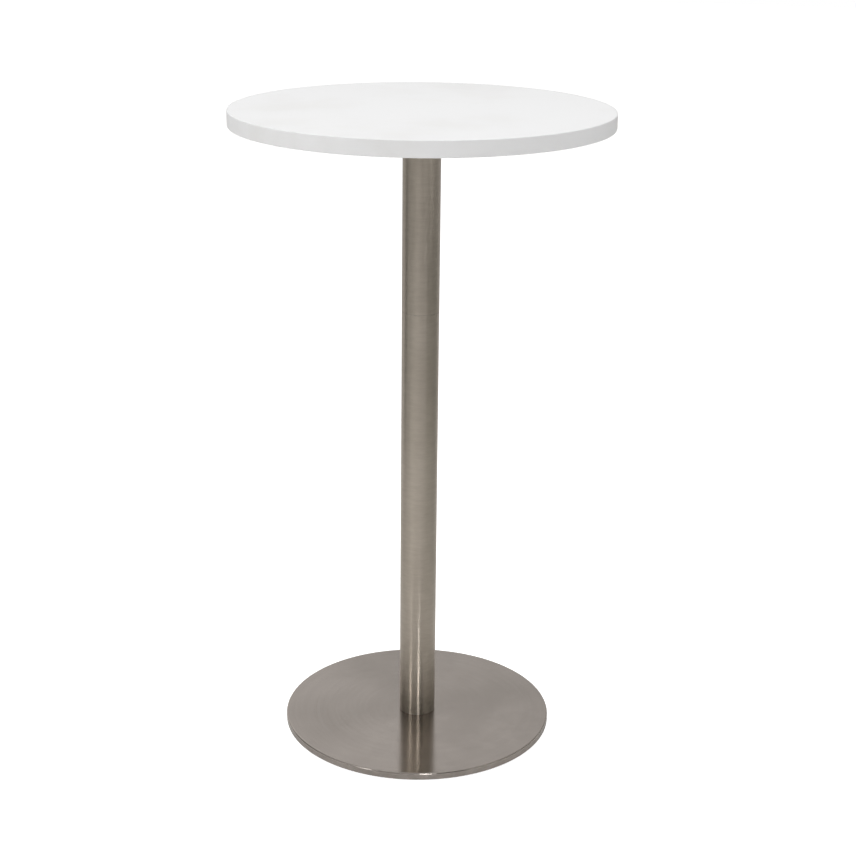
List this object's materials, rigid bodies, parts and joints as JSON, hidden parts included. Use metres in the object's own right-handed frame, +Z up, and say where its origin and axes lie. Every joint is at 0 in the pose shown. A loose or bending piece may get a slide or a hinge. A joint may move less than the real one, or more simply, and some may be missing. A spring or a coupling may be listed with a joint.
{
  "type": "bistro table",
  "caption": "Bar-height bistro table: round white laminated top on a slim brushed steel column with a flat weighted disc base and levelling glides.",
  "frame": {"origin": "on the floor, on the column's axis, with the four glides screwed fully in", "axes": "+Z up along the column; the table is round, so +X and +Y are free and the glides stand at 45 degrees to them"},
  "size_m": [0.5999, 0.6, 1.045],
  "materials": {
    "particleboard": "pressed wood chips",
    "white_laminate": "satin white laminate",
    "backing_laminate": "matt white backing sheet",
    "white_edge_band": "satin white plastic band",
    "black_coated_steel": "fine-textured black powder coat",
    "turned_steel": "bare turned steel",
    "zinc_plated_steel": "bright zinc plate",
    "brushed_stainless": "satin stainless, brushed round the tube",
    "brushed_stainless_cover": "satin stainless, brushed in circles",
    "cast_iron": "as cast, dipped black",
    "black_nylon": "moulded black nylon"
  },
  "bodies": {
    "table": {"top_core": "particleboard", "top_laminate": "white_laminate", "underside_laminate": "backing_laminate", "edge_band": "white_edge_band", "spider_plate": "black_coated_steel", "spider_hub": "turned_steel", "top_screws": "zinc_plated_steel", "upper_tube": "brushed_stainless", "lower_tube": "brushed_stainless", "joint_sleeve": "turned_steel", "centring_boss": "turned_steel", "tie_rod": "zinc_plated_steel", "rod_washer": "zinc_plated_steel", "rod_spring_washer": "zinc_plated_steel", "rod_nut": "zinc_plated_steel", "base_cover": "brushed_stainless_cover", "ballast_disc": "cast_iron", "boss_screws": "zinc_plated_steel"},
    "glide_1_pad": {"glide_1_pad": "black_nylon"},
    "glide_1_stem": {"glide_1_stem": "zinc_plated_steel"},
    "glide_2_pad": {"glide_2_pad": "black_nylon"},
    "glide_2_stem": {"glide_2_stem": "zinc_plated_steel"},
    "glide_3_pad": {"glide_3_pad": "black_nylon"},
    "glide_3_stem": {"glide_3_stem": "zinc_plated_steel"},
    "glide_4_pad": {"glide_4_pad": "black_nylon"},
    "glide_4_stem": {"glide_4_stem": "zinc_plated_steel"}
  },
  "joints": [
    {"name": "glide_1_height", "type": "slide", "parent": "table", "child": "glide_1_pad", "axis": [0, 0, -1], "range_m": [0, 0.005]},
    {"name": "glide_1_turn", "type": "hinge", "parent": "glide_1_pad", "child": "glide_1_stem", "pos_m": [0.13435, 0.13435, 0.0013], "axis": [0, 0, -1], "range_deg": [0, 1440.5]},
    {"name": "glide_2_height", "type": "slide", "parent": "table", "child": "glide_2_pad", "axis": [0, 0, -1], "range_m": [0, 0.005]},
    {"name": "glide_2_turn", "type": "hinge", "parent": "glide_2_pad", "child": "glide_2_stem", "pos_m": [-0.13435, 0.13435, 0.0013], "axis": [0, 0, -1], "range_deg": [0, 1440.5]},
    {"name": "glide_3_height", "type": "slide", "parent": "table", "child": "glide_3_pad", "axis": [0, 0, -1], "range_m": [0, 0.005]},
    {"name": "glide_3_turn", "type": "hinge", "parent": "glide_3_pad", "child": "glide_3_stem", "pos_m": [-0.13435, -0.13435, 0.0013], "axis": [0, 0, -1], "range_deg": [0, 1440.5]},
    {"name": "glide_4_height", "type": "slide", "parent": "table", "child": "glide_4_pad", "axis": [0, 0, -1], "range_m": [0, 0.005]},
    {"name": "glide_4_turn", "type": "hinge", "parent": "glide_4_pad", "child": "glide_4_stem", "pos_m": [0.13435, -0.13435, 0.0013], "axis": [0, 0, -1], "range_deg": [0, 1440.5]}
  ],
  "couplings": [
    {"joint": "glide_1_turn", "follows": "glide_1_height", "rad_per_m": 5026.5},
    {"joint": "glide_2_turn", "follows": "glide_2_height", "rad_per_m": 5026.5},
    {"joint": "glide_3_turn", "follows": "glide_3_height", "rad_per_m": 5026.5},
    {"joint": "glide_4_turn", "follows": "glide_4_height", "rad_per_m": 5026.5}
  ]
}
